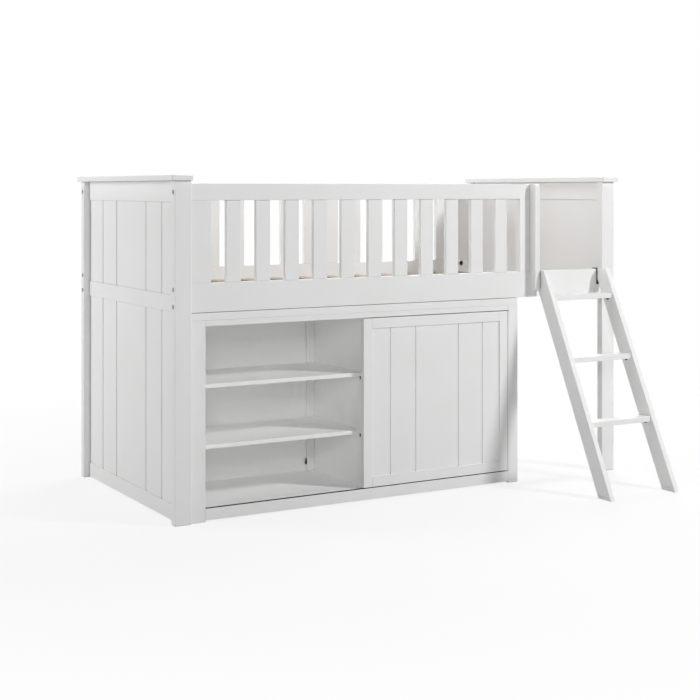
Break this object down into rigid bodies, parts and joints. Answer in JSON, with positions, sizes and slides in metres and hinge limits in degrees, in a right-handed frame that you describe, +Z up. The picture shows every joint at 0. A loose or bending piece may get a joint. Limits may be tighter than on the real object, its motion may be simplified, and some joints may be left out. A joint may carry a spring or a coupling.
{
  "type": "low loft bed",
  "caption": "White painted low loft bed with slatted guards, plank ends, a leaning hook-on ladder and an under-bed bookcase with a sliding plank door.",
  "frame": {"origin": "on the floor, below the middle of the whole object's box, ladder included", "axes": "+X along the bed towards the ladder end, +Y from the front to the rear, +Z up"},
  "size_m": [2.03, 1.5376, 1.252],
  "materials": {
    "white_paint": "satin white paint on wood",
    "back_board": "smooth white faced hardboard",
    "pale_softwood": "planed softwood, unpainted",
    "beech": "fluted hardwood dowel",
    "dark_bolt_steel": "blackened steel",
    "zinc_steel": "bright zinc plate",
    "black_steel": "black powder coat",
    "black_plastic": "extruded matt plastic",
    "white_nylon": "moulded nylon"
  },
  "bodies": {
    "bed": {"frame_bolts": "dark_bolt_steel", "half_moon_nuts": "dark_bolt_steel", "end_dowels": "beech", "left_front_post": "white_paint", "left_rear_post": "white_paint", "left_top_rail": "white_paint", "left_middle_rail": "white_paint", "left_bottom_rail": "white_paint", "left_upper_panel": "white_paint", "left_lower_panel": "white_paint", "left_cap": "white_paint", "right_front_post": "white_paint", "right_rear_post": "white_paint", "right_top_rail": "white_paint", "right_middle_rail": "white_paint", "right_upper_panel": "white_paint", "right_cap": "white_paint", "bed_screws": "zinc_steel", "bed_cleats": "pale_softwood", "front_side_rail": "white_paint", "front_guard_rail": "white_paint", "front_guard_stiles": "white_paint", "front_guard_slats": "white_paint", "rear_side_rail": "white_paint", "rear_guard_rail": "white_paint", "rear_guard_stiles": "white_paint", "rear_guard_slats": "white_paint", "bed_slats": "pale_softwood", "guard_handle": "white_paint", "shelf_supports": "dark_bolt_steel", "cabinet_shelves": "white_paint", "cabinet_screws": "zinc_steel", "cabinet_left_side": "white_paint", "cabinet_right_side": "white_paint", "cabinet_left_stile": "white_paint", "cabinet_right_stile": "white_paint", "cabinet_divider": "white_paint", "cabinet_top": "white_paint", "cabinet_bottom": "white_paint", "cabinet_back": "back_board", "cabinet_battens": "white_paint", "cabinet_plinth": "white_paint", "door_track": "black_plastic", "cabinet_top_runner": "white_paint"},
    "door": {"door_left_stile": "white_paint", "door_right_stile": "white_paint", "door_bottom_rail": "white_paint", "door_top_rail": "white_paint", "door_panel": "white_paint", "door_glides": "black_plastic", "door_guide_pins": "white_nylon"},
    "ladder": {"tread_pegs": "dark_bolt_steel", "ladder_dowels": "beech", "ladder_hooks": "black_steel", "ladder_screws": "zinc_steel", "ladder_left_stile": "white_paint", "ladder_right_stile": "white_paint", "ladder_bottom_tread": "white_paint", "ladder_middle_tread": "white_paint", "ladder_top_tread": "white_paint"}
  },
  "joints": [
    {"name": "door_slide", "type": "slide", "parent": "bed", "child": "door", "axis": [-1, 0, 0], "range_m": [0, 0.6552]},
    {"name": "ladder_lift", "type": "slide", "parent": "bed", "child": "ladder", "axis": [0, 0, 1], "range_m": [0, 0.12]}
  ]
}
